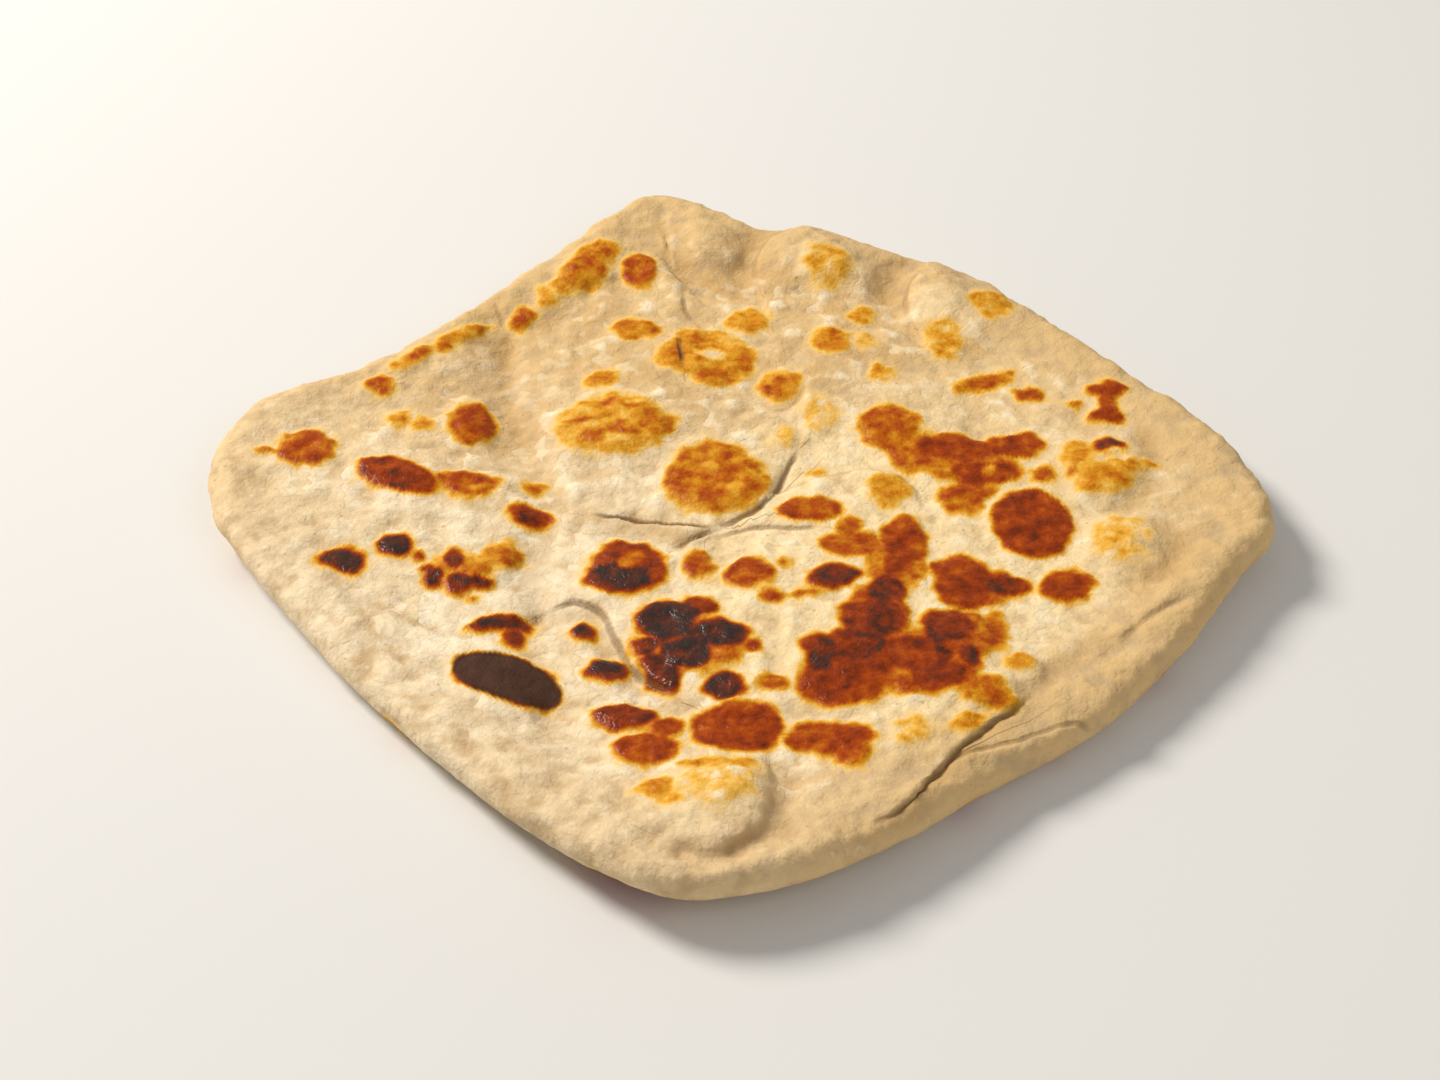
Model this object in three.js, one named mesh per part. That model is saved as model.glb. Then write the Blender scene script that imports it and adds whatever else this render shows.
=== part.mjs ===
// Feteer: a flat bread, stretched thin, folded over on itself into a rounded square and baked on a
// griddle. It is one piece of baked dough, 320 mm from corner to corner.
//
// Frame: millimetres, +Z up. The origin is under the middle of the bread, on the surface that it
// rests on. +X runs from the left corner to the right one, +Y from the near corner to the far one.
import * as THREE from "three";
import { mergeVertices } from "three/addons/utils/BufferGeometryUtils.js";

// ---- driving dimensions ----

const DOUGH_THICKNESS = 11.5; // of the folded sheet, away from the rim
const RIM_EXTRA = 1.5; // how much thicker the rolled rim is
const RIM_WIDTH = 26; // the band inside the edge that swells into the rim
const RIM_RADIUS = 6.5; // plan radius of the half-round outer edge
const LIP_HEIGHT = 2.6; // the loose edge of the top fold stands this high over the layer under it
const LIP_RUN = 42; // how far in from that edge the raised fold fades out
const LIP_EDGE = 3; // how far the step down takes
const LIP_FADE = 14; // length over which the step dies out at each end of the loose edge
const REST_REACH = 62; // the underside is flat this far out towards each corner

const CELLS = 32; // grid cells along one side of the bread
const RIM_ROWS = 4; // rows of faces round the half-round edge

// Outline of the risen edge seen from above, anticlockwise, in four sides that each start at a
// corner and have the same number of points.
const OUTLINE = [
  // right corner towards the far corner
  [160, -20], [157, 10], [143, 38], [125, 63], [106, 89],
  [82, 115], [63, 123], [44, 134], [27, 142], [12, 139],
  // far corner towards the left corner
  [-23, 160.2], [-42, 148], [-58, 130], [-76, 110], [-92, 91],
  [-109, 72], [-126, 59], [-143, 50], [-154, 38], [-159, 24],
  // left corner towards the near corner
  [-160.5, 8], [-155, -12], [-141, -34], [-122, -60], [-102, -85],
  [-82, -107], [-62, -128], [-45, -143], [-31, -153], [-20, -158.6],
  // near corner towards the right corner
  [-9, -160.3], [10, -156], [29, -147], [48, -134], [66, -120],
  [84, -108], [101, -95], [118, -77], [134, -56], [147.5, -36],
];
const SIDES = 4;

// How far each corner curls up off the table: the direction of the corner and its lift at the tip.
const CORNER_REACH = 160;
const CORNER_LIFTS = [
  { x: 1, y: -0.12, lift: 6 }, // right
  { x: -0.14, y: 1, lift: 4.5 }, // far
  { x: -1, y: 0.05, lift: 4 }, // left
  { x: -0.06, y: -1, lift: 8 }, // near
];

// Pockets of steam that lifted the sheet: centre, half length, half width, turn in degrees, height.
const PUFFS = [
  { x: 29, y: 120, long: 25, wide: 19, turn: -25, height: 7.5 }, // on the far right edge
  { x: 71, y: 100, long: 24, wide: 16, turn: -45, height: 6.5 }, // the next one along
  { x: -9, y: 130, long: 24, wide: 17, turn: 60, height: 5.5 }, // inside the far corner
  { x: -52, y: 116, long: 24, wide: 12, turn: 50, height: 3.5 }, // ridge along the far left edge
  { x: -98, y: 70, long: 24, wide: 10, turn: 42, height: 2.5 }, // its lower end
  { x: -33, y: 40, long: 42, wide: 36, turn: 20, height: 3 }, // between the seams, left of the middle
  { x: 42, y: 55, long: 52, wide: 34, turn: -40, height: 2 }, // between the seams, right of the middle
  { x: 113, y: 6, long: 22, wide: 19, turn: 0, height: 3 }, // inside the right corner
  { x: 115, y: -26, long: 19, wide: 15, turn: 40, height: 3 }, // below it
  { x: 28, y: -62, long: 62, wide: 46, turn: -20, height: 3 }, // the browned middle of the near half
  { x: -5, y: -126, long: 22, wide: 18, turn: 0, height: 5 }, // bubble inside the near corner
  { x: -104, y: 4, long: 46, wide: 34, turn: 10, height: 2 }, // the left fold
];

// The soft valley where the left fold meets the middle one, from the far edge to the near one.
const VALLEY = [[-78, 88], [-73, 52], [-69, 24], [-56, -3], [-54, -51], [-54, -70], [-48, -91], [-42, -114]];
const VALLEY_DEPTH = 2.2;
const VALLEY_WIDTH = 11;

// The loose edge of the top fold, near the right-hand near side. The fold lies on its left.
const LIP = [[33, -138], [41, -132], [47, -124], [52, -118], [59, -108], [66, -101], [75, -92.5], [82, -86], [90, -76]];

// ---- helpers ----

const smooth = (t) => THREE.MathUtils.smoothstep(t, 0, 1);

// The nearest point of a path: its distance, which side of the path it is on (+1 left, -1 right)
// and how far it is along the path from the nearer end.
function nearestOn(path, x, y) {
  let best = { distance: Infinity };
  let walked = 0;
  for (let i = 0; i + 1 < path.length; i++) {
    const [ax, ay] = path[i];
    const [dx, dy] = [path[i + 1][0] - ax, path[i + 1][1] - ay];
    const length = Math.hypot(dx, dy);
    const share = THREE.MathUtils.clamp(((x - ax) * dx + (y - ay) * dy) / length ** 2, 0, 1);
    const distance = Math.hypot(x - ax - share * dx, y - ay - share * dy);
    if (distance < best.distance) {
      const side = Math.sign(dx * (y - ay) - dy * (x - ax)) || 1;
      best = { distance, side, along: walked + share * length };
    }
    walked += length;
  }
  return { ...best, fromEnd: Math.min(best.along, walked - best.along) };
}

// ---- the dough's surfaces ----

const outline = new THREE.CatmullRomCurve3(
  OUTLINE.map(([x, y]) => new THREE.Vector3(x, y, 0)),
  true,
  "catmullrom",
  0.5,
);

// Height of the underside: flat in the middle, curling up to the four corners.
function underside(x, y) {
  let height = 0;
  for (const corner of CORNER_LIFTS) {
    const out = x * corner.x + y * corner.y;
    height += corner.lift * Math.max(0, (out - REST_REACH) / (CORNER_REACH - REST_REACH)) ** 2;
  }
  return height;
}

function puff(x, y, { x: cx, y: cy, long, wide, turn, height }) {
  const angle = THREE.MathUtils.degToRad(turn);
  const [dx, dy] = [x - cx, y - cy];
  const along = (dx * Math.cos(angle) + dy * Math.sin(angle)) / long;
  const across = (dy * Math.cos(angle) - dx * Math.sin(angle)) / wide;
  return height * Math.max(0, 1 - along ** 2 - across ** 2) ** 1.5;
}

function valley(x, y) {
  const { distance, fromEnd } = nearestOn(VALLEY, x, y);
  const fade = smooth(0.5 + fromEnd / VALLEY_WIDTH);
  return -VALLEY_DEPTH * (1 - smooth(distance / VALLEY_WIDTH)) * fade;
}

function lipStep(x, y) {
  const { distance, side, fromEnd } = nearestOn(LIP, x, y);
  const stepped = smooth(0.5 + (side * distance) / (2 * LIP_EDGE));
  return LIP_HEIGHT * stepped * (1 - smooth(distance / LIP_RUN)) * smooth(fromEnd / LIP_FADE + 0.1);
}

// Height of the top, from how far out the point is: 0 in the middle and 1 at the edge.
function topside(x, y, out, reach) {
  const inFromEdge = (1 - out) * reach;
  const rim = RIM_EXTRA * smooth(1 - inFromEdge / RIM_WIDTH);
  const folds = PUFFS.reduce((sum, one) => sum + puff(x, y, one), 0) + valley(x, y) + lipStep(x, y);
  const calm = smooth(0.25 + inFromEdge / RIM_WIDTH); // the relief flattens towards the edge
  return underside(x, y) + DOUGH_THICKNESS + rim + folds * calm;
}

// ---- the mesh ----

// Share of the way round the outline of a point on the edge of the square grid.
function wayRound(a, b) {
  if (a === 1 && b < 1) return (b + 1) / 2 / SIDES;
  if (b === 1 && a > -1) return (1 + (1 - a) / 2) / SIDES;
  if (a === -1 && b > -1) return (2 + (1 - b) / 2) / SIDES;
  return (3 + (a + 1) / 2) / SIDES;
}

// Takes a point of the grid box, which runs from -1 to 1 each way, to its place in the bread.
function inBread(u, v, w) {
  const out = Math.max(Math.abs(u), Math.abs(v));
  const edge = outline.getPoint(out > 0 ? wayRound(u / out, v / out) : 0);
  const reach = edge.length() - RIM_RADIUS;
  const [dirX, dirY] = [edge.x / edge.length(), edge.y / edge.length()];
  const [x, y] = [dirX * reach * out, dirY * reach * out];
  const low = underside(x, y);
  const high = topside(x, y, out, reach);
  const roll = (w * Math.PI) / 2; // round the edge, from straight down to straight up
  const bulge = out === 1 ? RIM_RADIUS * Math.cos(roll) : 0;
  const height = (low + high) / 2 + ((high - low) / 2) * Math.sin(roll);
  return new THREE.Vector3(x + dirX * bulge, y + dirY * bulge, height);
}

function breadGeometry() {
  const box = new THREE.BoxGeometry(2, 2, 2, CELLS, CELLS, RIM_ROWS);
  box.deleteAttribute("normal");
  box.deleteAttribute("uv");
  const grid = mergeVertices(box);
  const places = grid.getAttribute("position");
  for (let i = 0; i < places.count; i++) {
    const place = inBread(places.getX(i), places.getY(i), places.getZ(i));
    places.setXYZ(i, place.x, place.y, place.z);
  }
  grid.computeVertexNormals();
  return grid;
}

const crust = new THREE.MeshStandardMaterial({ color: 0xe6cfa0, roughness: 0.75, metalness: 0 });
const bread = new THREE.Mesh(breadGeometry(), crust);
bread.name = "feteer";

const feteer = new THREE.Group();
feteer.add(bread);
export default feteer;
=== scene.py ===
import math

import bmesh
import bpy
import numpy as np
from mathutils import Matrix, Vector, kdtree, noise


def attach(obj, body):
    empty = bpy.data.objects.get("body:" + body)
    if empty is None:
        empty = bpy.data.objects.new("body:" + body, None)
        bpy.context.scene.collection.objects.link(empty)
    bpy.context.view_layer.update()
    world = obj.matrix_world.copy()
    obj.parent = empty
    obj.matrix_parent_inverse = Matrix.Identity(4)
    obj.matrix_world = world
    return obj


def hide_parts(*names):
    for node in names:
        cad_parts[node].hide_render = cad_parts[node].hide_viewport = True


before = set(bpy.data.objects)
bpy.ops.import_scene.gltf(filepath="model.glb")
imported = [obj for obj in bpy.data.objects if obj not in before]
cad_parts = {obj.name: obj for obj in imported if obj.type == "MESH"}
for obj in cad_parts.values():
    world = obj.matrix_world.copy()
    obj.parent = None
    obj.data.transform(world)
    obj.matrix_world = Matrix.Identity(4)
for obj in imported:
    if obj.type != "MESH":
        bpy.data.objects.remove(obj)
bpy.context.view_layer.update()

# ==== The bread ====
# A feteer: one sheet of wholemeal dough, pulled thin, folded over on itself into a rounded square
# and baked on a hot griddle. Steam lifts it into puffs, and what touches the iron browns or chars.

MM = 0.001

# ---- The dough's skin, cut fine from the plain solid ----

SAME_POINT = 0.01 * MM
TOP_STEEPNESS = 0.6  # a face whose normal rises above this belongs to the top
TOP_FACE = 1

dough = bmesh.new()
dough.from_mesh(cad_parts["feteer"].data)
bmesh.ops.remove_doubles(dough, verts=dough.verts, dist=SAME_POINT)
bmesh.ops.join_triangles(
    dough,
    faces=dough.faces,
    angle_face_threshold=math.pi,
    angle_shape_threshold=math.pi,
)
dough.normal_update()
for face in dough.faces:
    face.material_index = TOP_FACE if face.normal.z > TOP_STEEPNESS else 0
plain_mesh = bpy.data.meshes.new("plain_dough")
dough.to_mesh(plain_mesh)
dough.free()

plain = bpy.data.objects.new("plain_dough", plain_mesh)
bpy.context.scene.collection.objects.link(plain)
rounding = plain.modifiers.new("rounding", "SUBSURF")
rounding.levels = 2
rounding.render_levels = 2
rounded = plain.evaluated_get(bpy.context.evaluated_depsgraph_get())

dough = bmesh.new()
dough.from_mesh(rounded.to_mesh())
rounded.to_mesh_clear()
bpy.data.objects.remove(plain)

# The top carries the marks, so it is cut once more.
top_edges = {edge for face in dough.faces if face.material_index == TOP_FACE for edge in face.edges}
bmesh.ops.subdivide_edges(dough, edges=list(top_edges), cuts=1, use_grid_fill=True)
for face in dough.faces:
    face.material_index = 0
    face.smooth = True
bread_mesh = bpy.data.meshes.new("feteer_bread")
dough.to_mesh(bread_mesh)
dough.free()

# From here to the end of the shaping, lengths are millimetres.

count = len(bread_mesh.vertices)
place = np.empty(count * 3)
bread_mesh.vertices.foreach_get("co", place)
place = place.reshape(-1, 3) / MM
facing = np.empty(count * 3)
bread_mesh.vertices.foreach_get("normal", facing)
facing = facing.reshape(-1, 3)
x, y = place[:, :2].T.copy()


def ease(low, high, value):
    """0 below low, 1 above high, and a smooth rise between them."""
    t = np.clip((value - low) / (high - low), 0, 1)
    return t * t * (3 - 2 * t)


def lumps(size, seed):
    """Soft random lumps of about this size, from -1 to 1, at each point of the bread."""
    return np.array([noise.noise(Vector(p) + Vector((seed, -seed, seed))) for p in place / size])


TILT = (0.05, 0.5)  # how far a normal rises where the rim starts to pass into the top, and has passed
EDGE_ON = 0.25  # a normal flatter than this stands on the outermost edge

top = ease(*TILT, facing[:, 2])
under = ease(*TILT, -facing[:, 2])

edge_points = place[np.abs(facing[:, 2]) < EDGE_ON]
edge_tree = kdtree.KDTree(len(edge_points))
for i, point in enumerate(edge_points):
    edge_tree.insert((point[0], point[1], 0), i)
edge_tree.balance()
inset = np.array([edge_tree.find((a, b, 0))[2] for a, b in zip(x, y)])

# Nothing on a hand-pulled sheet is a true circle or line: the marks are placed on a wandering grid,
# and the creases on one that wanders less.

WANDER = 1.7
FINE_WANDER = 1.0
CREASE_WANDER = 0.35


def wandering(along, seed, fine_seed):
    """A coordinate that drifts to and fro by a millimetre or two."""
    return along + WANDER * lumps(9, seed) + FINE_WANDER * lumps(4, fine_seed)


wander_x = wandering(x, 11, 23)
wander_y = wandering(y, 37, 41)
pulled_x = wander_x * CREASE_WANDER + x * (1 - CREASE_WANDER)
pulled_y = wander_y * CREASE_WANDER + y * (1 - CREASE_WANDER)

# ---- Creases and folds ----


def pulled_line(points):
    """The points of a smooth curve through the given ones, four to each stretch."""
    ends = [points[0]] + list(points) + [points[-1]]
    line = []
    for a, b, c, d in zip(ends, ends[1:], ends[2:], ends[3:]):
        a, b, c, d = map(np.array, (a, b, c, d))
        for t in (0, 0.25, 0.5, 0.75):
            bend = 2 * a - 5 * b + 4 * c - d
            twist = 3 * b - a - 3 * c + d
            line.append((2 * b + (c - a) * t + bend * t * t + twist * t**3) / 2)
    line.append(np.array(points[-1], float))
    return line


def to_line(points, px, py):
    """Distance to the curve, positive on its left, and the distance to the nearer of its ends."""
    line = pulled_line(points)
    gap = np.full(px.shape, np.inf)
    side = np.ones(px.shape)
    for (ax, ay), (bx, by) in zip(line, line[1:]):
        dx, dy = bx - ax, by - ay
        share = np.clip(((px - ax) * dx + (py - ay) * dy) / (dx * dx + dy * dy), 0, 1)
        away = np.hypot(px - ax - share * dx, py - ay - share * dy)
        nearer = away < gap
        gap = np.where(nearer, away, gap)
        side = np.where(nearer, np.sign(dx * (py - ay) - dy * (px - ax)), side)
    ends = [np.hypot(px - a, py - b) for a, b in (line[0], line[-1])]
    return gap * side, np.minimum(*ends)


# Each crack: the points it runs through, its depth, how much higher its left side stands, how far
# that step takes to fade out, and how dark the painted shade in the crack is.
CRACKS = [
    # the seams that meet in the middle, where the corners of the sheet were folded in
    (((-44, -10), (-34, -11), (-25, -12.6), (-15, -14.6), (-5, -16.4)), 1.1, -1.2, 9, 0.9),
    (((-5, -16), (3, -11), (9, -5), (13, 2), (16, 10), (20, 19.5)), 1.0, 1.2, 10, 0.8),
    (((-4, -16), (-13, -21.5), (-18, -27.5)), 0.9, 1.0, 8, 0.7),
    (((-6, -21), (5, -17), (19, -17.5), (26, -18)), 0.7, 0.9, 8, 0.5),
    (
        ((10, -2), (17, 2.6), (26, 6.4), (37, 9.5), (44, 8.7), (51, 5), (55.4, -3), (55.4, -12)),
        0.2, -0.9, 9, 0.2,
    ),
    # the hooked fold in the near left
    (
        (
            (-53, -51), (-47, -48.5), (-41.5, -50.5), (-37, -55.7), (-34, -64), (-31, -72), (-27, -79),
            (-17, -88),
        ),
        1.1, 2.0, 9, 0.6,
    ),
    # the far corner, pinched together
    (((-24, 149.6), (-23.5, 138), (-22, 126)), 0.4, 1.4, 11, 0.1),
    (((-22.5, 124), (-20.5, 115), (-15.5, 106)), 0.6, -2.4, 10, 0.2),
    (((-16.5, 102), (-16.2, 93), (-13, 86)), 0.7, -0.8, 7, 0.45),
    (((-18, 75.5), (-17, 66), (-16.4, 58.5)), 1.0, 0, 6, 0.9),
    # the ends of the far right puffs
    (((14, 133), (9.5, 124), (7, 116.6), (8, 108)), 0.7, 2.6, 15, 0.3),
    (((63, 112), (58, 104), (56.4, 96), (58, 88)), 0.7, 2.6, 14, 0.34),
    (((23.5, 54.5), (21.4, 46.7), (17, 40.3), (12, 38.6)), 0.5, 1.4, 8, 0.3),
    # the far left ridge
    (((-80, 96), (-77, 88.7), (-74.4, 82)), 0.6, 1.0, 8, 0.3),
    # under the bubble at the near corner
    (((-19, -144), (-8, -149), (0, -146.3), (6, -139.3), (8.6, -131.7), (8.6, -124)), 0.5, 2.4, 10, 0.22),
    # the rim's own creases on the right
    (((105.5, -69), (112.4, -62.4), (119, -57), (129.4, -50)), 0.5, 1.2, 8, 0.28),
    (
        ((51.5, -118), (57, -113.5), (64, -110), (72, -107.5), (82, -102), (91, -98.5), (98, -99)),
        0.8, -0.9, 8, 0.5,
    ),
]

# Each soft fold: its points, half width, depth and how dark the painted shade in its hollow is.
SOFT_FOLDS = [
    # the valleys between the left fold and the middle
    (((-76, 88), (-75.5, 77), (-73, 61), (-71, 44), (-70, 32), (-66, 16)), 8, 1.9, 0.32),
    (((-75, 82), (-74, 70), (-71.5, 56), (-70, 42), (-68.5, 30), (-66, 22)), 3, 0.6, 0.4),
    # beside the seams and the hooked fold
    (((-42, -15), (-28, -18), (-14, -21), (-5, -23)), 6, 0.8, 0.34),
    (((-2, -12), (6, -4), (13, 8)), 3.5, 0.6, 0.16),
    (((-50, -53), (-42.5, -55), (-38.5, -62), (-34.5, -73), (-27, -84)), 3, 1.1, 0.32),
    # between the far puffs
    (((-21, 130), (-18, 117), (-13, 106)), 5, 2.2, 0.38),
    (((13, 138), (5, 124), (2, 108)), 6, 1.8, 0.26),
    (((56, 118), (52, 106), (51, 92)), 5, 1.6, 0.24),
    # inside the far left ridge
    (((-69, 80.5), (-60, 85.5), (-49, 98), (-40, 104.7)), 5, 1.2, 0.14),
    # down the near left
    (((-57, -20), (-59, -36), (-58, -50), (-60, -62)), 5, 1.5, 0.2),
    (((-53, -84), (-50, -96), (-48, -108)), 5, 1.6, 0.2),
    (((-76, -94), (-66, -99), (-58, -98)), 3, 0.7, 0.16),
    # beside the charred middle
    (((12, -56), (11, -68), (10, -78)), 2.5, 0.9, 0.14),
    # the right corner, and inside the rim beside it
    (((120, 31), (126.8, 22), (127.7, 11.4), (125, 0), (118, -8), (109.4, -10.7)), 4, 1.5, 0.26),
    (((125.4, -14), (128.7, -26.5), (125.6, -36.3), (115.5, -44)), 5, 1.7, 0.3),
    (((75, -92), (80, -88), (85, -82), (91, -76), (100, -70)), 4, 1.2, 0.2),
    (((128, -62), (137, -49), (144, -37)), 3.5, 1.0, 0.14),
    # the near corner and its bubble
    (((22, -139), (34, -140), (46, -134)), 4, 0.9, 0.14),
    (((-20, -146), (-8, -151), (4, -146), (12, -134), (12, -122)), 5, 1.4, 0.2),
]

CRACK_WIDTH = 1.3
CRACK_TAPER = 7  # a crack closes over this length at each of its ends
NO_CRACK = 9.0  # the gap that stands for no crack near by

lift = np.zeros(count)
shade = np.zeros(count)
crack_gap = np.full(count, NO_CRACK)
crack_shade = np.zeros(count)


def ridge(gap, width):
    """1 where the gap is nothing, falling away smoothly on both sides."""
    return np.exp(-((gap / width) ** 2))


def darken(gap, dark):
    """Keeps the nearest crack at each point, and how dark its painted shade is."""
    nearer = np.abs(gap) < np.abs(crack_gap)
    return np.where(nearer, gap, crack_gap), np.where(nearer, dark, crack_shade)


for points, depth, step, run, dark in CRACKS:
    gap, to_end = to_line(points, pulled_x, pulled_y)
    taper = ease(-1, CRACK_TAPER, to_end)
    lift -= depth * ridge(gap, CRACK_WIDTH) * taper
    lift += step * np.tanh(gap / CRACK_WIDTH) * ridge(gap, run) * taper / 2
    crack_gap, crack_shade = darken(gap, dark * taper)
for points, width, depth, dark in SOFT_FOLDS:
    gap, to_end = to_line(points, wander_x, wander_y)
    hollow = ridge(gap, width) * ease(-width, 1.5 * width, to_end)
    lift -= depth * hollow
    shade = np.maximum(shade, dark * hollow)

# The loose edge of the top fold: its lip hangs a little over a gap painted dark as its shadow, with a
# band of painted shadow beside it. The solid under it already has a soft step there, which is sharpened.

LOOSE_EDGE = (
    (33, -138), (41, -132), (47, -124), (52, -118), (59, -108), (66, -101), (75, -92.5), (82, -86),
    (90, -76),
)
LIP_HEIGHT = 2.34
LIP_OVERHANG = 1.0
LIP_OUTWARD = (0.75, -0.66)
LIP_SHADOW = 0.35
GROOVE_DEPTH = 0.5
GROOVE_WIDTH = 1.2
GAP_PAINTED_SHADOW = 0.7

# Places across the lip, counted from its edge: more than 0 is on the fold, less is outside it.
OVERHANG_PLACE = 0.5
GAP_PLACE = -0.9
GROOVE_PLACE = -1.4

gap, to_end = to_line(LOOSE_EDGE, pulled_x, pulled_y)
end_x, end_y = LOOSE_EDGE[-1]
taper = ease(-2, 12, to_end) * ease(14, 26, np.hypot(x - end_x, y - end_y))
sharpened = ease(-0.8, 0.5, gap) - ease(-3, 3, gap)
groove = GROOVE_DEPTH * ridge(gap - GROOVE_PLACE, GROOVE_WIDTH)
lift += taper * (LIP_HEIGHT * sharpened - groove)
shade = np.maximum(shade, taper * LIP_SHADOW * ease(-8, -1, gap) * ease(1.0, -0.5, gap))
crack_gap, crack_shade = darken(gap - GAP_PLACE, GAP_PAINTED_SHADOW * taper)
overhang = LIP_OVERHANG * taper * top * ridge(gap - OVERHANG_PLACE, CRACK_WIDTH)

# ---- Browned blisters ----

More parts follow.
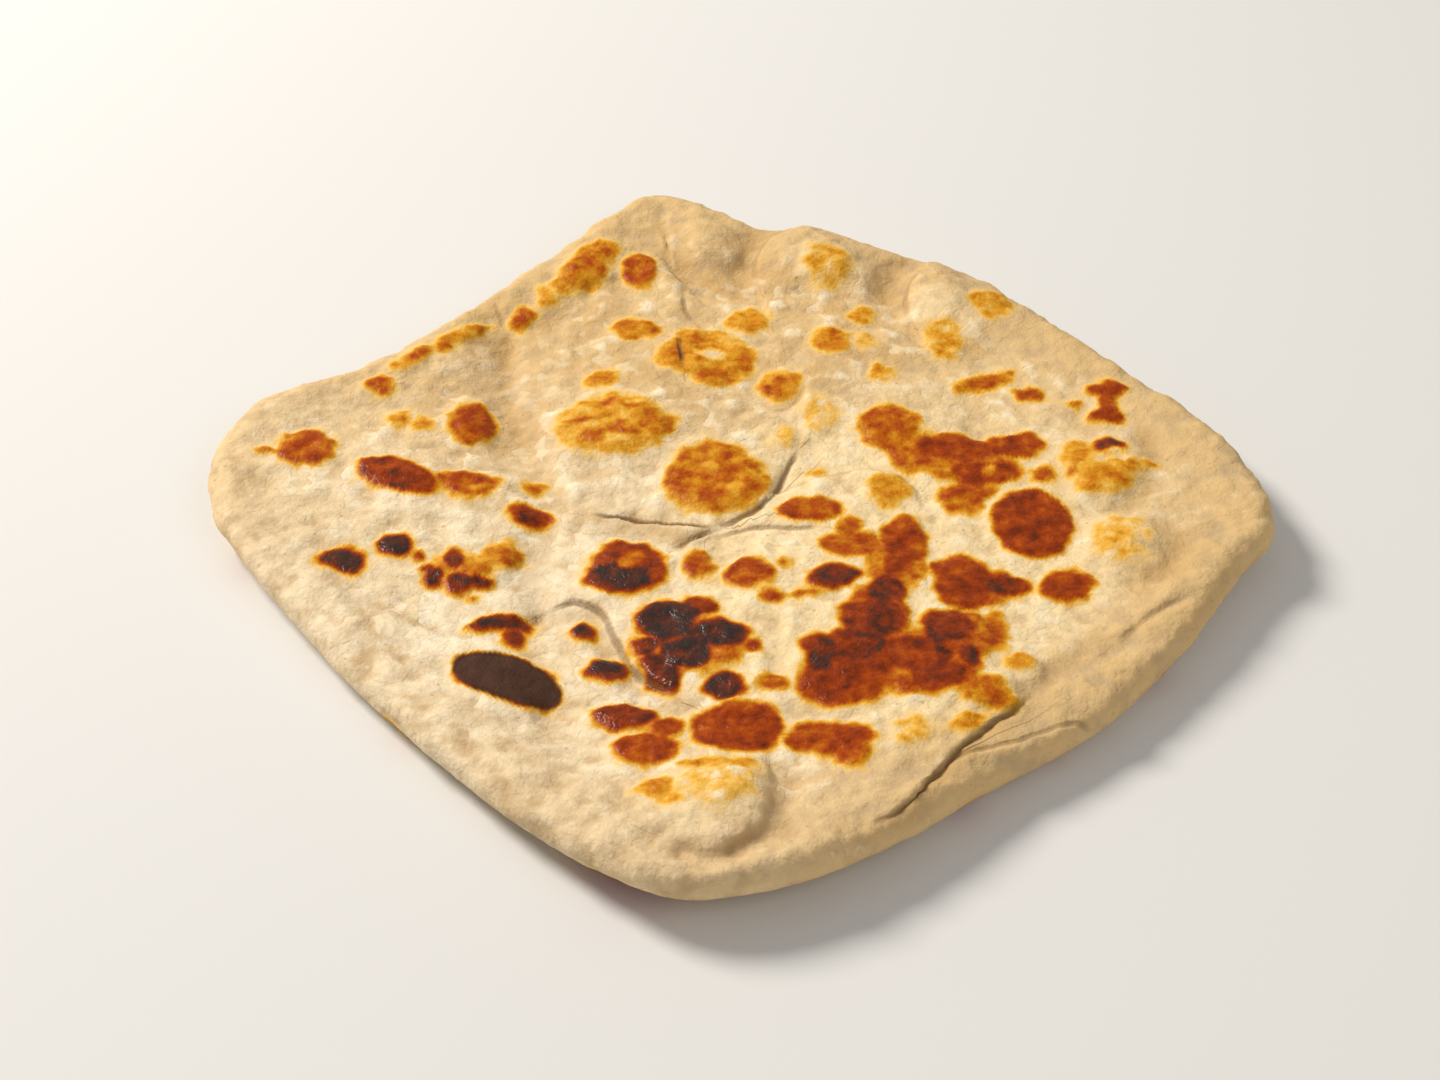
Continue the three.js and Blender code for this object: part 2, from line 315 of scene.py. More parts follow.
# Where the skin touched the iron: centre, half length, half width, turn in degrees, and how far it
# baked, from 0.2 for pale yellow through 0.5 for amber and 0.7 for red-brown to 0.95 for char.
BLISTERS = [
    # left fold
    (-131, 16.5, 9, 9, 0, 0.66), (-142.5, 14.5, 4, 2, 0, 0.6), (-102, 4, 13, 8, -20, 0.79),
    (-81, 2, 9.5, 7, -15, 0.64), (-112, 49, 4.3, 5.4, 0, 0.62), (-104, 33.5, 3.4, 4, 0, 0.46),
    (-97, 30.5, 3.7, 4.5, 0, 0.46), (-81.5, 32, 7.6, 10.8, 0, 0.68), (-59.7, 2, 4.6, 3, 0, 0.5),
    (-61, -11.5, 6.4, 5.1, -8, 0.78),
    # far left ridge
    (-103, 63, 9, 3, 52, 0.5), (-89, 76.5, 12.5, 3, 41, 0.46), (-101, 67, 3, 3, 0, 0.62),
    (-94, 70, 3.6, 3, 0, 0.62), (-69, 88, 4.4, 6, 0, 0.52), (-63, 98, 3.8, 4.5, 0, 0.44),
    (-57, 103, 5, 4.5, 50, 0.42), (-50, 110, 9, 7.5, 50, 0.52), (-46, 120, 9, 6, 50, 0.48),
    (-31.2, 112.5, 6.5, 9, 0, 0.62),
    # between the seams on the far side
    (-32, 81.5, 8.5, 5.6, -10, 0.5), (-10, 78, 9, 4, 0, 0.44), (-19.5, 67, 5.5, 8, 0, 0.48),
    (-7, 55, 9, 5.5, 0, 0.5), (2, 63, 4, 8, 0, 0.45), (-8, 66, 15, 13, 0, 0.42), (5, 86, 7, 7.5, 0, 0.46),
    (14, 51.5, 6.7, 7.5, 0, 0.5), (31.7, 73.3, 6.3, 7, 0, 0.52), (42, 89, 4.6, 5.5, 0, 0.42),
    (43, 74, 4, 4, 0, 0.32), (47, 57, 4, 5, 0, 0.38), (-42, 53, 5.5, 4.6, 0, 0.48),
    (-37, 29, 18.5, 14.5, 0, 0.38), (-24, 29, 6, 7, 0, 0.5), (-44, 22, 6, 4, 0, 0.52),
    (-39, 40, 7, 4, 0, 0.46), (-49, 30, 6, 2, 10, 0.56),
    (-31, 37, 6, 2, 0, 0.56), (-34, 25, 6, 2.2, -8, 0.55), (-6, 5, 15.5, 16.5, 0, 0.54),
    (27, 36, 6, 8, 0, 0.22), (15, 24, 4, 5, 0, 0.2), (24, 8.8, 3.6, 3, 0, 0.36),
    (46.5, -1, 6.7, 7.5, 0, 0.4),
    # far right puffs and the right corner
    (31, 112, 8, 10, 0, 0.3), (85, 93, 7, 7, 0, 0.4), (68, 75, 6.8, 11, 0, 0.32),
    (80, 54, 11, 3.8, 22, 0.54), (94, 46, 5.6, 3.4, 0, 0.66), (106, 41, 3, 2, 0, 0.62),
    (117.5, 47, 7, 4, 0, 0.74), (117, 41, 3.6, 4, 0, 0.72), (115.7, 35, 6, 3.6, 0, 0.74),
    (114.5, 18.5, 5.6, 5, -20, 0.85), (105, 14, 5, 8, 0, 0.42), (112, 3, 10, 7, 0, 0.46),
    (123, 9, 5, 3, 0, 0.42), (102, 6, 2, 2, 0, 0.58), (93, 6, 4, 4, 0, 0.56),
    (88, -16.5, 12, 16, 0, 0.76), (113, -25, 9, 11, 0, 0.24), (95.5, -44, 8.5, 6.5, 25, 0.72),
    (48, 29, 10.5, 10.5, 0, 0.6), (57, 23, 6, 5, 0, 0.45), (67, 19, 12, 7.5, 0, 0.71),
    (86, 20.5, 9, 6.5, 15, 0.72), (76, 7, 11, 6, 0, 0.73), (68, -4, 7.5, 7.5, 0, 0.58),
    (73, 1, 6, 6, 0, 0.58),
    # the right half of the near fold
    (23, -9, 10.5, 6, -8, 0.68), (33, -18, 4, 4, 0, 0.6), (34, -26, 10, 6.5, 0, 0.63),
    (49.5, -24, 7, 12, 0, 0.7), (28, -41, 8, 5, 20, 0.86), (20, -49, 6, 2, 15, 0.54),
    (47, -37, 5, 6, 0, 0.7), (42.5, -47, 6, 6.5, 0, 0.85), (38, -60, 9.5, 9, 0, 0.81),
    (33, -70, 9, 7, 0, 0.8), (23, -76, 5, 5, 0, 0.89), (22, -69, 5, 4, 0, 0.8), (29, -84, 13, 11, 0, 0.74),
    (65, -42, 9.5, 12, 0, 0.73), (78, -44, 8, 4.6, 0, 0.78), (59, -63, 8, 8, 0, 0.79),
    (73, -63, 4, 9, 0, 0.56), (50, -75, 10, 8, 0, 0.75), (64, -76, 4, 5, 0, 0.83),
    (55, -84, 8, 6, 0, 0.77), (68, -89, 8.5, 5.5, -25, 0.54), (78, -77, 3.6, 3, 0, 0.5),
    (62, -100, 6, 3, 35, 0.42), (46.5, -104, 5.5, 6, 0, 0.27),
    # the charred middle of the near fold
    (-31, -34.5, 10.5, 11.5, 30, 0.8), (-34.5, -39.5, 10, 7.5, -10, 0.9),
    (-10.5, -34, 4.6, 6, 0, 0.64), (4, -39, 8, 7.5, 0, 0.71), (10, -50, 4, 3, 0, 0.7),
    (14, -34, 2, 2, 0, 0.56), (-43, -61, 4, 3.6, 0, 0.93),
    (-36, -77, 6, 5, 0, 0.95), (-19.5, -57.5, 9.5, 9, -30, 0.95), (-12, -53, 6, 5, 0, 0.8),
    (-4, -65, 7.6, 5.8, -8, 0.93), (-14.5, -73, 7.6, 6, 0, 0.95), (-26, -69, 4.2, 4.6, 0, 0.9),
    (-21, -79, 8.5, 4.6, 120, 0.86), (4, -70, 3, 3, 0, 0.74), (-15, -66, 9, 8, -25, 0.84),
    (-3, -85, 6, 5.5, 0, 0.91), (10, -84, 4, 4, 0, 0.67),
    # the amber skin that runs between them
    (40, -62, 9, 20, 0, 0.63), (51, -77, 17, 14, 0, 0.61), (63, -66, 11, 11, 0, 0.61),
    (26, -80, 9, 12, 0, 0.62), (46, -36, 9, 11, 0, 0.56), (66, 14, 20, 10, -12, 0.56),
    (70, -44, 12, 8, 0, 0.62), (-12, -68, 15, 12, -10, 0.56), (-80, -35, 10, 8, 10, 0.42),
    # near corner
    (-31, -96, 9, 4.8, -8, 0.82), (-24, -109.5, 9.5, 6.5, 0, 0.72), (-19, -101, 5, 4, 0, 0.74),
    (0, -102, 12.5, 10.5, 0, 0.74), (25, -106, 12, 7, 0, 0.67), (30, -110, 6, 8, 0, 0.64),
    (-21.5, -126.2, 4.6, 4.6, 0, 0.48), (-5, -117, 12, 2.4, 0, 0.38), (-5, -126, 11, 8, 0, 0.22),
    (-17, -131, 4, 2.4, 0, 0.3),
    # burnt spots on the left
    (-99.5, -26, 4.9, 5.4, 0, 0.95), (-93, -31, 2, 2, 0, 0.82), (-113.7, -34, 7, 5.5, 0, 0.95),
    (-82, -31, 3.6, 4.6, 0, 0.9), (-88, -40, 3, 4, 0, 0.88), (-80, -41, 4.6, 4.6, 0, 0.88),
    (-73, -41, 4, 3, 0, 0.87), (-90, -36, 2, 2, 0, 0.86), (-68, -29, 7, 5.5, 0, 0.52),
    (-75, -35, 5, 4, 0, 0.54), (-75, -48, 2, 2, 0, 0.62), (-65.7, -57.6, 8, 3.4, 0, 0.9),
    (-73, -60, 3.4, 2.4, 0, 0.84), (-62.5, -63, 4.4, 3.4, 0, 0.86), (-63, -81, 17, 9, -25, 0.9),
]

# Spots inside a blister that stayed paler, in the same terms.
PALE_SPOTS = [
    (-76.5, 0, 2.4, 1.7, 0, 0.44), (-7.5, 66.5, 5.4, 3.6, 0, 0.2), (-30, -32, 4.2, 3.4, 30, 0.58),
    (116, 15, 5, 2, 0, 0.3), (76, 9, 3, 2, 20, 0.5), (-9, 9, 4, 3, 0, 0.4), (0, 0, 3, 3, 0, 0.42),
]

# Puffs whose tops are painted pale, as painted light: centre, half length, half width and turn.
PAINTED_LIGHT_PUFFS = [(34, 118, 21, 15, -25), (70, 97, 13, 19, 0), (-6, -130, 17, 13, 0)]

SOOT_SPOT = BLISTERS[-1]


def inside(spot, px, py):
    """How far in from a spot's edge each point is, and its distance from the centre as a share."""
    cx, cy, long, wide, turn = spot[:5]
    c = math.cos(math.radians(turn))
    s = math.sin(math.radians(turn))
    along = (px - cx) * c + (py - cy) * s
    across = (py - cy) * c - (px - cx) * s
    share = np.hypot(along / long, across / wide)
    slope = np.hypot(along / long**2, across / wide**2) / np.maximum(share, 0.05)
    return (1 - share) / np.maximum(slope, 0.02), share


HALO = 0.12  # how far the skin just outside a blister is baked
HALO_BAND = (-6, -1)
AMBER = 0.6  # a blister baked less than this is palest at its edge
AMBER_EDGE = (-2.4, 1.8)
BROWN_EDGE = (-1.9, 1.7)
MERGE = 6  # how sharply overlapping blisters run together
DARKEST = 0.96
LEAST_RISE = 0.35
RISE_FOR_WIDTH = 0.08
RISE_BAND = (1.35, 0.6)  # the shares of the way out at which a blister starts to rise, and stands full


def bake(spots, px, py, side):
    """How brown each point is, and how high its blister stands."""
    heat = np.zeros(count)
    height = np.zeros(count)
    for spot in spots:
        deep, share = inside(spot, px, py)
        _, _, long, wide, _, level = spot
        if level < AMBER:
            strength = level * (1.16 - 0.22 * np.clip(share, 0, 1)) * ease(*AMBER_EDGE, deep)
        else:
            strength = level * ease(*BROWN_EDGE, deep)
        heat += np.maximum(strength, HALO * ease(*HALO_BAND, deep)) ** MERGE
        rise = LEAST_RISE + RISE_FOR_WIDTH * min(long, wide)
        height = np.maximum(height, rise * ease(*RISE_BAND, share))
    return np.minimum(heat ** (1 / MERGE), DARKEST) * side, height * side


heat, blister = bake(BLISTERS, wander_x, wander_y, top)
for spot in PALE_SPOTS:
    deep, share = inside(spot, wander_x, wander_y)
    pale = ease(-1.0, 1.2, deep) * top
    heat = heat * (1 - pale) + np.minimum(heat, spot[5]) * pale
soot = ease(-0.4, 0.8, inside(SOOT_SPOT, pulled_x, pulled_y)[0]) * top

# The underside lay on the iron first: it has a scatter of its own, mostly amber.

UNDER_SPOTS = 95
UNDER_REACH = 148
UNDER_SIZES = (3, 13)
UNDER_LEVELS = [0.3, 0.45, 0.55, 0.65, 0.74, 0.88]
UNDER_SHARES = [0.2, 0.24, 0.2, 0.18, 0.12, 0.06]

shuffle = np.random.default_rng(7)
under_spots = []
for _ in range(UNDER_SPOTS):
    turn = shuffle.uniform(0, math.tau)
    out = UNDER_REACH * math.sqrt(shuffle.uniform(0, 1))
    size = shuffle.uniform(*UNDER_SIZES)
    level = shuffle.choice(UNDER_LEVELS, p=UNDER_SHARES)
    centre = (out * math.cos(turn), out * math.sin(turn))
    slant = shuffle.uniform(0, 180)
    under_spots.append((*centre, size, size * shuffle.uniform(0.5, 1), slant, level))
under_heat, under_blister = bake(under_spots, wander_x, wander_y, under)
heat = np.maximum(heat, under_heat)

# ---- The surface, raised and pressed ----

BLISTER_WRINKLES = 0.26
BLISTER_GRAIN = 0.12

browned = ease(0.3, 0.7, heat)
blister_skin = browned * (BLISTER_WRINKLES * lumps(3.4, 53) + BLISTER_GRAIN * lumps(1.8, 59))

# The dusting of flour stayed on the near left, and away from it the dough is yellower. The middle
# is a buttery cream, and the tops of the puffs are painted the same pale cream as painted light.
FLOURED = (-95, -72)
CREAMY_MIDDLE = (45, -32)


def distance_to(spot):
    return np.hypot(x - spot[0], y - spot[1])


golden = ease(28, 165, distance_to(FLOURED) + 30 * lumps(45, 83))
cream_and_lit_puffs = ease(100, 45, distance_to(CREAMY_MIDDLE) + 22 * lumps(30, 89))
for puff in PAINTED_LIGHT_PUFFS:
    cream_and_lit_puffs = np.maximum(cream_and_lit_puffs, 0.75 * ease(1.15, 0.7, inside(puff, wander_x, wander_y)[1]))

QUIET_RIM = 9  # the folds fade out over this width at the edge
RIM_BAND = (6, 34)  # where the rim's tan colour starts to fade, and where it has gone
SHADE_STRENGTH = 1.5
SHADE_LIMIT = 0.85
UNDER_BLISTER = 0.35  # the underside's blisters are pressed this flat
UNDER_LUMPS = 0.25
UNDER_GRAIN = 0.3

rise = top * (lift * ease(0, QUIET_RIM, inset) + blister + blister_skin)
press = under * (
    UNDER_BLISTER * under_blister + UNDER_LUMPS * (1 + lumps(7, 71)) + UNDER_GRAIN * (1 + lumps(2.6, 73))
)
side = (1 - top) * (1 - under)

place[:, 0] += overhang * LIP_OUTWARD[0]
place[:, 1] += overhang * LIP_OUTWARD[1]
place[:, 2] += rise + np.maximum(press, 0)
bread_mesh.vertices.foreach_set("co", (place * MM).ravel())
bread_mesh.update()

for name, values in (
    ("browning", heat),
    ("crack_gap", crack_gap),
    ("crack_shade", crack_shade * top),
    ("shade", np.minimum(SHADE_STRENGTH * shade, SHADE_LIMIT) * top),
    ("golden", golden),
    ("soot", soot),
    ("rim", 1 - ease(*RIM_BAND, inset)),
    ("cream_and_lit_puffs", cream_and_lit_puffs),
    ("flour", under * 0.6),
    ("loose_skin", np.clip(top + 0.8 * side, 0, 1) * (1 - 0.6 * browned)),
):
    layer = bread_mesh.attributes.new(name, "FLOAT", "POINT")
    layer.data.foreach_set("value", values.astype(np.float32))

# ---- Baked crust, its colours from cream through amber to char ----


def wire(tree, node_type, inputs=None, **settings):
    """A new node with its settings, its numbers and its incoming links."""
    node = tree.nodes.new(node_type)
    for key, value in settings.items():
        setattr(node, key, value)
    for key, value in (inputs or {}).items():
        if isinstance(value, bpy.types.NodeSocket):
            tree.links.new(value, node.inputs[key])
        else:
            node.inputs[key].default_value = value
    return node


crust = bpy.data.materials.new("baked_crust")
crust.use_nodes = True
crust_tree = crust.node_tree
crust_tree.nodes.clear()
where = wire(crust_tree, "ShaderNodeTexCoord").outputs["Object"]


def mark(name):
    """One of the marks laid on the bread's surface."""
    return wire(crust_tree, "ShaderNodeAttribute", attribute_name=name).outputs["Fac"]


def grain(per_metre, detail=2.0):
    """Soft noise with about this many lumps to the metre."""
    inputs = {"Vector": where, "Scale": per_metre, "Detail": detail}
    return wire(crust_tree, "ShaderNodeTexNoise", inputs).outputs["Fac"]


def mask(factor, low, high):
    """0 at low, 1 at high, and a smooth rise between them."""
    inputs = {"Value": factor, "From Min": low, "From Max": high}
    node = wire(crust_tree, "ShaderNodeMapRange", inputs, interpolation_type="SMOOTHSTEP")
    return node.outputs["Result"]


def times(a, b):
    """The product of two values."""
    return wire(crust_tree, "ShaderNodeMath", {0: a, 1: b}, operation="MULTIPLY").outputs[0]


def sum_of(*parts):
    """The sum of (value, weight) pairs."""
    total = 0.0
    for value, weight in parts:
        inputs = {0: value, 1: weight, 2: total}
        total = wire(crust_tree, "ShaderNodeMath", inputs, operation="MULTIPLY_ADD").outputs[0]
    return total


def blend(factor, a, b):
    """Two colours mixed by a factor."""
    node = wire(crust_tree, "ShaderNodeMix", {"Factor": factor}, data_type="RGBA")
    for socket, value in ((node.inputs[6], a), (node.inputs[7], b)):
        if isinstance(value, bpy.types.NodeSocket):
            crust_tree.links.new(value, socket)
        else:
            socket.default_value = (*value, 1)
    return node.outputs[2]


def ramp(factor, stops):
    """A colour ramp with the given (position, colour) stops."""
    node = wire(crust_tree, "ShaderNodeValToRGB", {"Fac": factor})
    stretch = node.color_ramp
    while len(stretch.elements) > 1:
        stretch.elements.remove(stretch.elements[-1])
    stretch.elements[0].position = stops[0][0]
    stretch.elements[0].color = (*stops[0][1], 1)
    for position, colour in stops[1:]:
        stretch.elements.new(position).color = (*colour, 1)
    return node.outputs["Color"]


patches = grain(45)
blotch = grain(95)
mottle = grain(210, 3)
dust = grain(260)
fine = grain(700)
crumbs = grain(1500)

# dough: floury cream on one side and golden on the other, with wholemeal tan in soft patches
PALE_CREAM = (0.90, 0.75, 0.52)
PALE_GOLD = (0.77, 0.54, 0.26)
WARM_CREAM = (0.86, 0.68, 0.42)
WARM_GOLD = (0.66, 0.42, 0.17)
BUTTERY_CREAM_AND_PUFF_LIGHT = (0.95, 0.74, 0.42)
WHOLEMEAL_AND_SHADE_TAN = (0.62, 0.43, 0.22)
LUMP_TOP_PAINTED_LIGHT = (0.97, 0.83, 0.58)

golden_mark = mark("golden")
pale = blend(golden_mark, PALE_CREAM, PALE_GOLD)
warm = blend(golden_mark, WARM_CREAM, WARM_GOLD)
cream = blend(mask(patches, 0.38, 0.62), pale, warm)
# the buttery middle, and the puff tops painted the same cream as painted light
cream = blend(mark("cream_and_lit_puffs"), cream, BUTTERY_CREAM_AND_PUFF_LIGHT)
# wholemeal tan in soft patches, and also where the skin between its small bubbles lies low, as painted
# shade; the bubbles' swollen tops are painted pale cream as painted light
patches_and_low_shade = sum_of((mottle, 0.7), (blotch, 0.6), (mark("swell"), -0.9))
cream = blend(mask(patches_and_low_shade, 0.60, 1.1), cream, WHOLEMEAL_AND_SHADE_TAN)
cream = blend(mask(mark("swell"), 0.02, 0.35), cream, LUMP_TOP_PAINTED_LIGHT)

# the rim is more evenly tan, and its deeper tan patches also darken where the skin lies low, as painted
# shade
PALE_TAN = (0.86, 0.69, 0.45)
GOLDEN_TAN = (0.72, 0.49, 0.22)
DEEP_TAN = (0.60, 0.42, 0.22)

tan = blend(golden_mark, PALE_TAN, GOLDEN_TAN)
tan = blend(mask(patches_and_low_shade, 0.55, 1.05), tan, DEEP_TAN)
to_rim = sum_of((mark("rim"), 0.8), (patches, 0.5), (mottle, 0.35), (golden_mark, 0.2))
skin = blend(mask(to_rim, 0.5, 1.35), cream, tan)

# the flour paste dried into small flakes, each a little lighter or darker, with soft gaps between
FLAKES_PER_METRE = 230.0
FLAKE_DRIFT = 0.0055
FLAKE_GAP_STRENGTH = 0.2
DRY_FLOUR = (0.97, 0.84, 0.61)
DRY_FLOUR_ON_GOLD = (0.93, 0.77, 0.50)

stir = wire(crust_tree, "ShaderNodeTexNoise", {"Vector": where, "Scale": 240.0, "Detail": 1.0})
drift_inputs = {0: stir.outputs["Color"], "Scale": FLAKE_DRIFT}
drift = wire(crust_tree, "ShaderNodeVectorMath", drift_inputs, operation="SCALE")
bent = wire(crust_tree, "ShaderNodeVectorMath", {0: where, 1: drift.outputs[0]}, operation="ADD")
flakes = {"Vector": bent.outputs[0], "Scale": FLAKES_PER_METRE, "Randomness": 1.0}
flake = wire(crust_tree, "ShaderNodeTexVoronoi", flakes).outputs["Color"]
flake_edge = wire(crust_tree, "ShaderNodeTexVoronoi", flakes, feature="DISTANCE_TO_EDGE")
flake = sum_of((mask(flake, 0.4, 1.0), 0.62), (golden_mark, -0.14), (mark("rim"), -0.3))
floury = blend(golden_mark, DRY_FLOUR, DRY_FLOUR_ON_GOLD)
skin = blend(mask(flake, 0.0, 0.8), skin, floury)
flake_gap = times(mask(flake_edge.outputs["Distance"], 0.2, 0.0), FLAKE_GAP_STRENGTH)
skin = blend(flake_gap, skin, DEEP_TAN)

# bran: flecks well under a millimetre
BRAN = (0.46, 0.30, 0.15)
BRAN_STRENGTH = 0.45

bran = wire(crust_tree, "ShaderNodeTexVoronoi", {"Vector": where, "Scale": 430.0, "Randomness": 1.0})
bran_size = sum_of((mottle, 0.5), (bran.outputs["Distance"], 1.0))
bran_dot = mask(bran_size, 0.50, 0.34)
bran_pick = mask(bran.outputs["Color"], 0.60, 0.75)
skin = blend(times(times(bran_dot, bran_pick), BRAN_STRENGTH), skin, BRAN)

# flour that was dusted on and never browned
FLOUR = (0.93, 0.82, 0.62)
FLOUR_STRENGTH = 0.4

dusted = sum_of((fine, 0.25), (dust, 0.9), (mark("flour"), 0.12), (golden_mark, -0.1))
skin = blend(times(mask(dusted, 0.62, 0.8), FLOUR_STRENGTH), skin, FLOUR)

# painted shade in the hollows of the folds and beside the lip
PAINTED_SHADE_TAN = (0.46, 0.26, 0.08)

skin = blend(mark("shade"), skin, PAINTED_SHADE_TAN)

# browning, from butter yellow through amber and red-brown to char, mottled most where it is lightest
BAKING = [
    (0.00, (0.90, 0.68, 0.38)),
    (0.14, (0.88, 0.58, 0.20)),
    (0.28, (0.82, 0.46, 0.075)),
    (0.40, (0.72, 0.33, 0.018)),
    (0.50, (0.60, 0.22, 0.005)),
    (0.59, (0.50, 0.125, 0.003)),
    (0.68, (0.40, 0.064, 0.003)),
    (0.76, (0.30, 0.040, 0.003)),
    (0.84, (0.20, 0.027, 0.003)),
    (0.91, (0.085, 0.021, 0.009)),
    (1.00, (0.035, 0.019, 0.016)),
]

heat_mark = mark("browning")
speckle = sum_of((mottle, 0.8), (fine, 0.14), (crumbs, 0.06))
centred = sum_of((speckle, 1.0), (1.0, -0.5))
swing = times(centred, mask(heat_mark, 0.03, 0.3))
swing = times(swing, sum_of((heat_mark, -1.05), (1.0, 1.55)))
baked = sum_of((heat_mark, 1.0), (swing, 1.0))
brown = ramp(baked, BAKING)
colour = blend(mask(baked, 0.06, 0.22), skin, brown)

# the one spot that is covered in soot
SOOT = (0.045, 0.020, 0.013)
SOOT_WORN_BROWN = (0.105, 0.048, 0.030)

colour = blend(mark("soot"), colour, blend(mottle, SOOT, SOOT_WORN_BROWN))

# cracks: a thin line of painted shade where the distance to the nearest one falls to nothing
CRACK_SHADE_BROWN = (0.20, 0.10, 0.033)

gap = wire(crust_tree, "ShaderNodeMath", {0: mark("crack_gap")}, operation="ABSOLUTE").outputs[0]
crack = times(mask(sum_of((gap, 1.0), (fine, 0.5)), 1.55, 0.5), mark("crack_shade"))
colour = blend(crack, colour, CRACK_SHADE_BROWN)

# oily gloss on the blisters, none on the flour or the soot
FLOURY_ROUGHNESS = 0.74
OILY_ROUGHNESS = 0.30

gloss = mask(heat_mark, 0.25, 0.7)
rough_inputs = {"Value": gloss, "To Min": FLOURY_ROUGHNESS, "To Max": OILY_ROUGHNESS}
rough = wire(crust_tree, "ShaderNodeMapRange", rough_inputs).outputs["Result"]
rough = sum_of((fine, 0.14), (mark("soot"), 0.4), (rough, 1.0), (1.0, -0.07))
shine = sum_of((mask(heat_mark, 0.72, 0.95), 0.25), (mark("soot"), -0.3), (1.0, 0.2))

relief_parts = (
    (mottle, 0.8),
    (fine, 0.5),
    (crumbs, 0.22),
    (flake_gap, -0.6),
    (bran_dot, 0.08),
    (crack, -1.2),
)
bump_inputs = {"Height": sum_of(*relief_parts), "Strength": 0.5, "Distance": 0.0011}
bump = wire(crust_tree, "ShaderNodeBump", bump_inputs)

shader = wire(
    crust_tree,
    "ShaderNodeBsdfPrincipled",
    {
        "Base Color": colour,
        "Roughness": rough,
        "Normal": bump.outputs["Normal"],
        "IOR": 1.4,
        "Specular IOR Level": shine,
        "Subsurface Weight": 0.12,
        "Subsurface Radius": (1.0, 0.55, 0.25),
        "Subsurface Scale": 0.003,
    },
)
wire(crust_tree, "ShaderNodeOutputMaterial", {"Surface": shader.outputs["BSDF"]})

# ---- The dough's own relief: slow waves, small bubbles under the skin, and crumbly grain ----

relief = bpy.data.node_groups.new("dough_relief", "GeometryNodeTree")
relief.interface.new_socket("Geometry", in_out="INPUT", socket_type="NodeSocketGeometry")
relief.interface.new_socket("Geometry", in_out="OUTPUT", socket_type="NodeSocketGeometry")
RELIEF_SIZES = {
    "Wave size": 0.026,
    "Wave depth": 0.0032,
    "Bubble size": 0.010,
    "Bubble depth": 0.0013,
    "Grain size": 0.0055,
    "Grain depth": 0.0022,
}
sockets = {}
for name, size in RELIEF_SIZES.items():
    socket = relief.interface.new_socket(name, in_out="INPUT", socket_type="NodeSocketFloat")
    sockets[name] = socket.identifier
socket = relief.interface.new_socket("Crust", in_out="INPUT", socket_type="NodeSocketMaterial")
sockets["Crust"] = socket.identifier
given = relief.nodes.new("NodeGroupInput").outputs


def field_maths(operation, a, b):
    return wire(relief, "ShaderNodeMath", {0: a, 1: b}, operation=operation).outputs[0]


spot_on_skin = wire(relief, "GeometryNodeInputPosition").outputs[0]


def skin_noise(size, detail):
    """Noise of a given grain size, from -0.5 to 0.5."""
    scale = field_maths("DIVIDE", 1.0, given[size])
    inputs = {"Vector": spot_on_skin, "Scale": scale, "Detail": detail}
    value = wire(relief, "ShaderNodeTexNoise", inputs).outputs["Fac"]
    return field_maths("SUBTRACT", value, 0.5)


BUBBLE_LEVEL = 0.45  # the distance from a bubble's centre at which it neither rises nor dips
BUBBLE_SWELL = 0.6

bubbles_per_metre = field_maths("DIVIDE", 1.0, given["Bubble size"])
cells = wire(
    relief,
    "ShaderNodeTexVoronoi",
    {"Vector": spot_on_skin, "Scale": bubbles_per_metre, "Smoothness": 0.6},
    feature="SMOOTH_F1",
)
bubbles = field_maths("SUBTRACT", BUBBLE_LEVEL, cells.outputs["Distance"])
grains = skin_noise("Grain size", 1.5)

# How far the skin swells is kept on the mesh, because the dough's colours follow it: painted light on
# the swollen tops and painted shade in the low parts.
swell = field_maths("ADD", field_maths("MULTIPLY", bubbles, BUBBLE_SWELL), grains)
height = field_maths("MULTIPLY", skin_noise("Wave size", 1.0), given["Wave depth"])
height = field_maths("ADD", height, field_maths("MULTIPLY", bubbles, given["Bubble depth"]))
height = field_maths("ADD", height, field_maths("MULTIPLY", grains, given["Grain depth"]))
looseness = wire(relief, "GeometryNodeInputNamedAttribute", {"Name": "loose_skin"}, data_type="FLOAT")
height = field_maths("MULTIPLY", height, looseness.outputs["Attribute"])
outward = wire(relief, "GeometryNodeInputNormal").outputs["Normal"]
push = wire(relief, "ShaderNodeVectorMath", {0: outward, "Scale": height}, operation="SCALE").outputs[0]
raised = wire(relief, "GeometryNodeSetPosition", {"Geometry": given["Geometry"], "Offset": push})
known = wire(
    relief,
    "GeometryNodeStoreNamedAttribute",
    {"Geometry": raised.outputs[0], "Name": "swell", "Value": swell},
    data_type="FLOAT",
    domain="POINT",
)
plain_form = wire(relief, "GeometryNodeRealizeInstances", {"Geometry": known.outputs[0]})
baked_form = wire(
    relief,
    "GeometryNodeSetMaterial",
    {"Geometry": plain_form.outputs[0], "Material": given["Crust"]},
)
wire(relief, "NodeGroupOutput", {0: baked_form.outputs[0]})

rising = bpy.data.objects.new("rising", bread_mesh)
bpy.context.scene.collection.objects.link(rising)
modifier = rising.modifiers.new("dough_relief", "NODES")
modifier.node_group = relief
for name, size in RELIEF_SIZES.items():
    modifier[sockets[name]] = size
modifier[sockets["Crust"]] = crust
finished = rising.evaluated_get(bpy.context.evaluated_depsgraph_get())
bread_mesh = bpy.data.meshes.new_from_object(finished)
bread_mesh.name = "feteer_bread"
bpy.data.objects.remove(rising)

bread = bpy.data.objects.new("feteer_bread", bread_mesh)
bpy.context.scene.collection.objects.link(bread)
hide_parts("feteer")
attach(bread, "root")

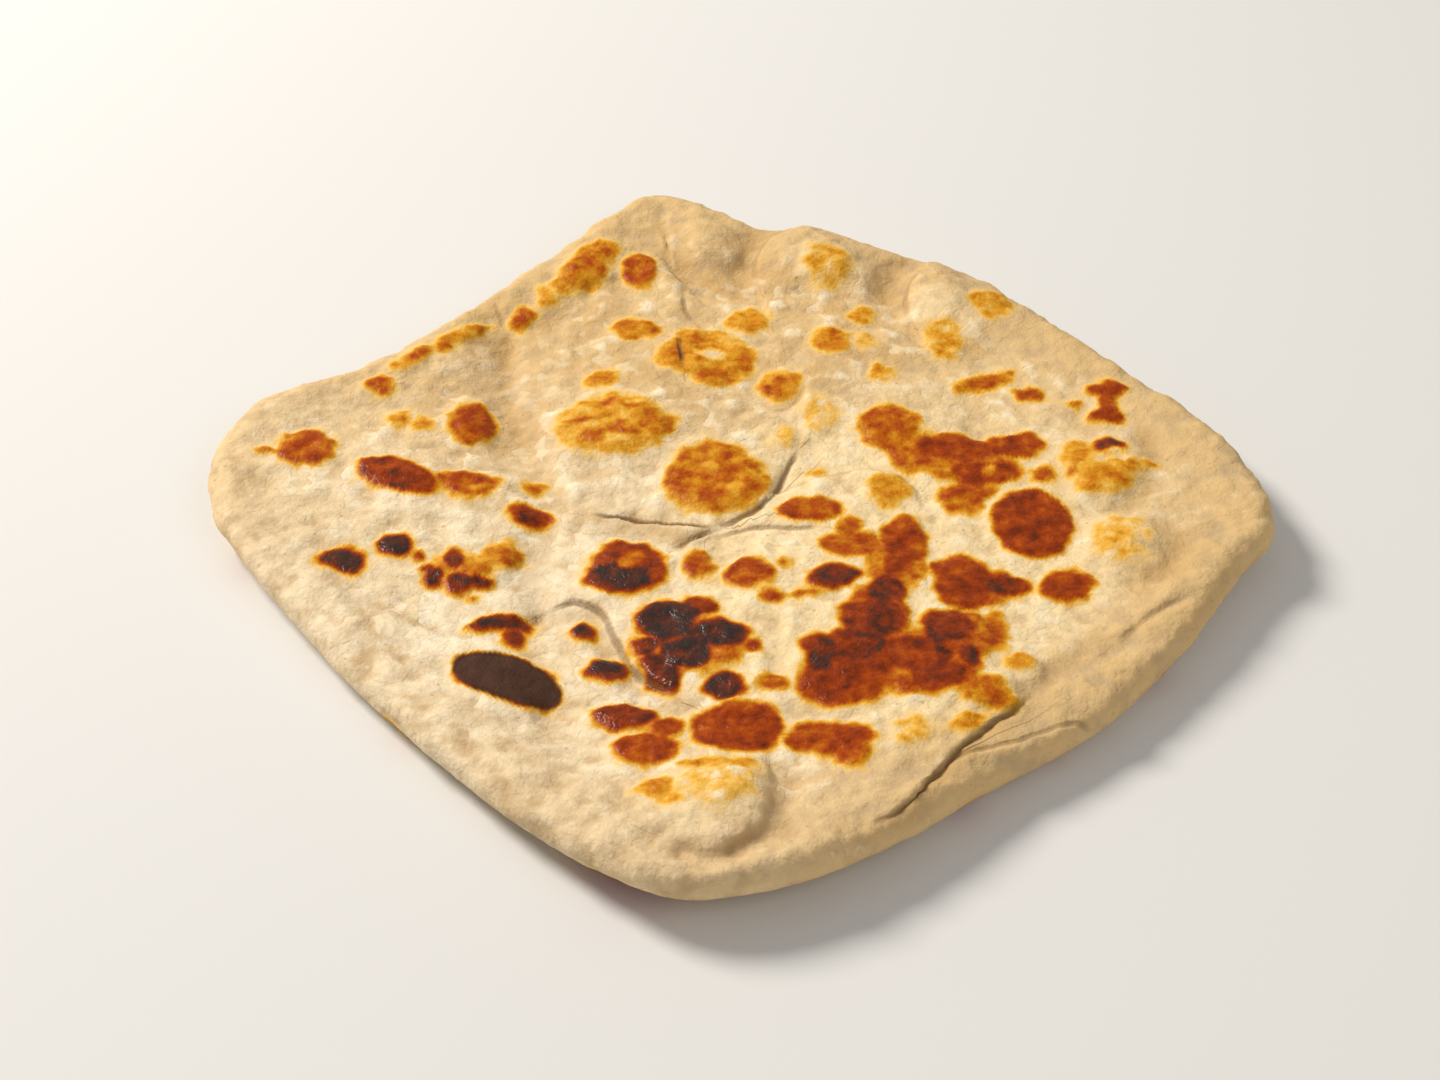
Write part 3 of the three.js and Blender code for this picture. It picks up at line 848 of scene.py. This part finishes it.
# ==== The floor, the light and the camera ====
# A plain pale floor. One large soft lamp stands behind on the left, as a window does, and a weak one
# in front on the right opens the shadows. The camera looks down from above the near corner.

FLOOR_HALF = 4.0
FLOOR_CORNERS = ((-1, -1), (1, -1), (1, 1), (-1, 1))

floor_mesh = bpy.data.meshes.new("floor")
floor_points = [(FLOOR_HALF * a, FLOOR_HALF * b, 0) for a, b in FLOOR_CORNERS]
floor_mesh.from_pydata(floor_points, [], [(0, 1, 2, 3)])
floor = bpy.data.objects.new("floor", floor_mesh)
bpy.context.scene.collection.objects.link(floor)
paint = bpy.data.materials.new("pale_floor")
paint.use_nodes = True
paint_shader = paint.node_tree.nodes["Principled BSDF"]
paint_shader.inputs["Base Color"].default_value = (0.78, 0.77, 0.75, 1)
paint_shader.inputs["Roughness"].default_value = 0.9
floor_mesh.materials.append(paint)


def lamp(name, spot, size, watts, tint):
    """A round soft lamp, turned towards the middle of the bread."""
    light = bpy.data.lights.new(name, "AREA")
    light.shape = "DISK"
    light.size = size
    light.energy = watts
    light.color = tint
    holder = bpy.data.objects.new(name, light)
    holder.location = spot
    holder.rotation_euler = (-Vector(spot)).to_track_quat("-Z", "Y").to_euler()
    bpy.context.scene.collection.objects.link(holder)


lamp("key", (-1.5, 0.95, 1.5), 0.8, 58, (1.0, 0.95, 0.88))
lamp("fill", (0.9, -0.9, 1.1), 1.2, 5, (1.0, 0.98, 0.95))

world = bpy.data.worlds.new("studio")
world.use_nodes = True
room_light = world.node_tree.nodes["Background"]
room_light.inputs["Color"].default_value = (1.0, 0.98, 0.96, 1)
room_light.inputs["Strength"].default_value = 0.30
bpy.context.scene.world = world
bpy.context.scene.view_settings.view_transform = "Standard"

CAMERA_PLACE = (-0.0045, -0.5405, 0.465)
CAMERA_TILT = 48.8  # degrees up from looking straight down

lens = bpy.data.cameras.new("camera")
lens.sensor_width = 36
lens.lens = 58.6
lens.clip_start = 0.01
camera = bpy.data.objects.new("camera", lens)
camera.location = CAMERA_PLACE
camera.rotation_euler = (math.radians(CAMERA_TILT), 0, 0)
bpy.context.scene.collection.objects.link(camera)
bpy.context.scene.camera = camera
